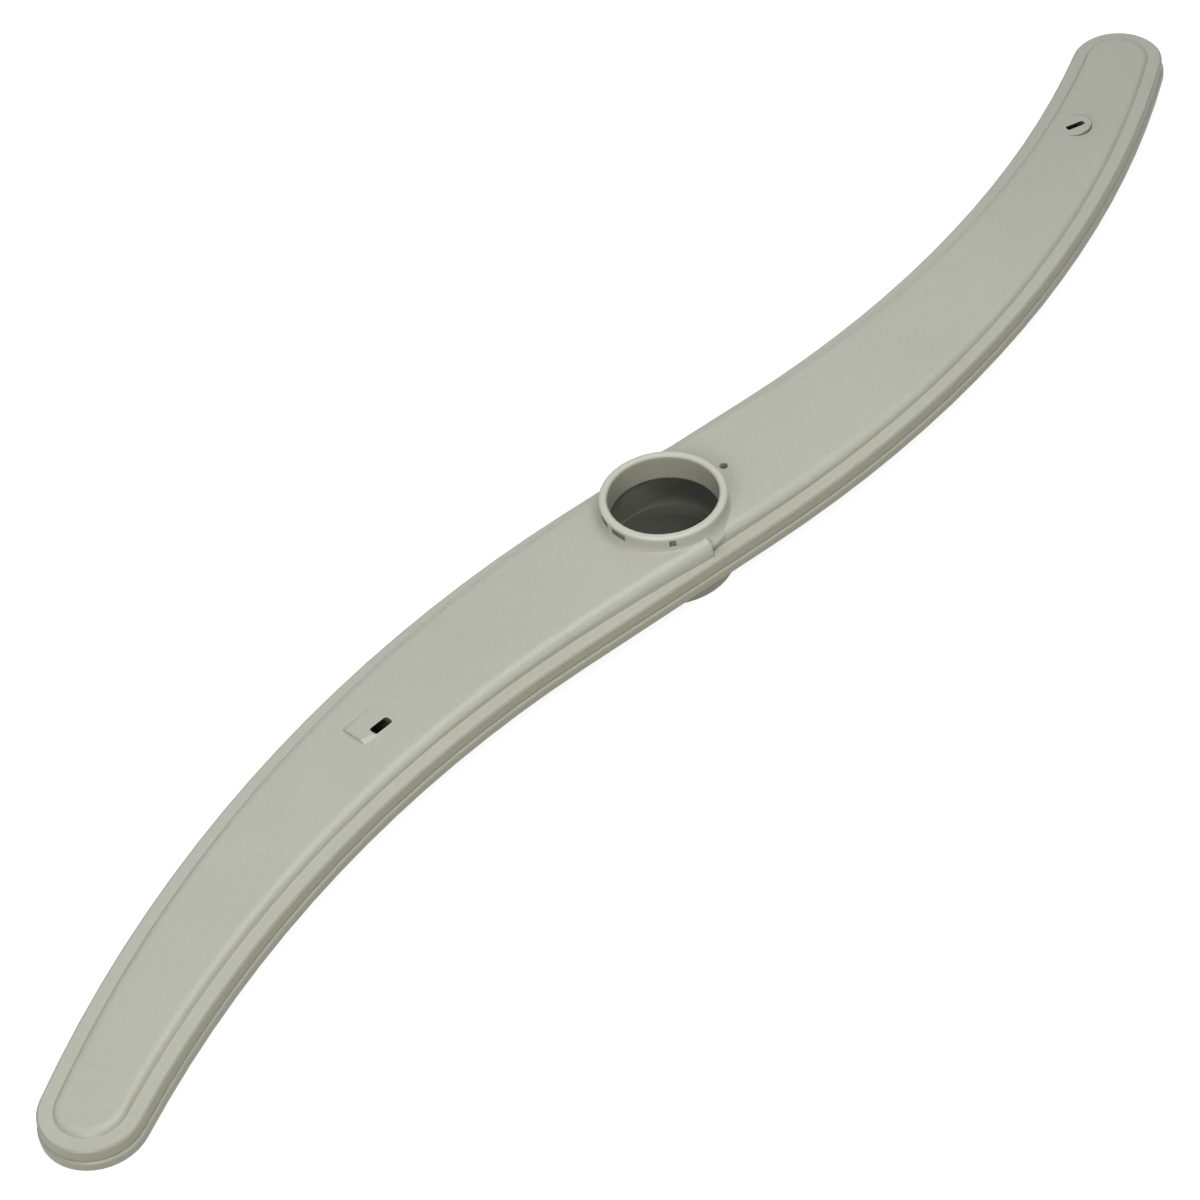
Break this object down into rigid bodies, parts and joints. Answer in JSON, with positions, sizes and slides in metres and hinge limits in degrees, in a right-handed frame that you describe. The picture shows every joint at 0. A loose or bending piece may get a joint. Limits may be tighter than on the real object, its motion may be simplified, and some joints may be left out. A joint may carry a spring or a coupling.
{
  "type": "dishwasher spray arm",
  "caption": "Hollow S-shaped spray arm for a dishwasher: two welded plastic shells with a round inlet collar at the hub, drive jets on one face and slotted spray nozzles on the other.",
  "frame": {"origin": "on the hub axis, at the flat face of the closed hub boss that the arm lies on", "axes": "+Z along the hub axis, out of the inlet collar; X along the arms from tip to tip"},
  "size_m": [0.459, 0.0698, 0.0229],
  "materials": {
    "hub_side_plastic": "moulded, satin, warm light grey",
    "nozzle_side_plastic": "moulded, satin, warm light grey"
  },
  "bodies": {
    "root": {"hub_side_shell": "hub_side_plastic", "nozzle_side_shell": "nozzle_side_plastic"}
  },
  "joints": []
}
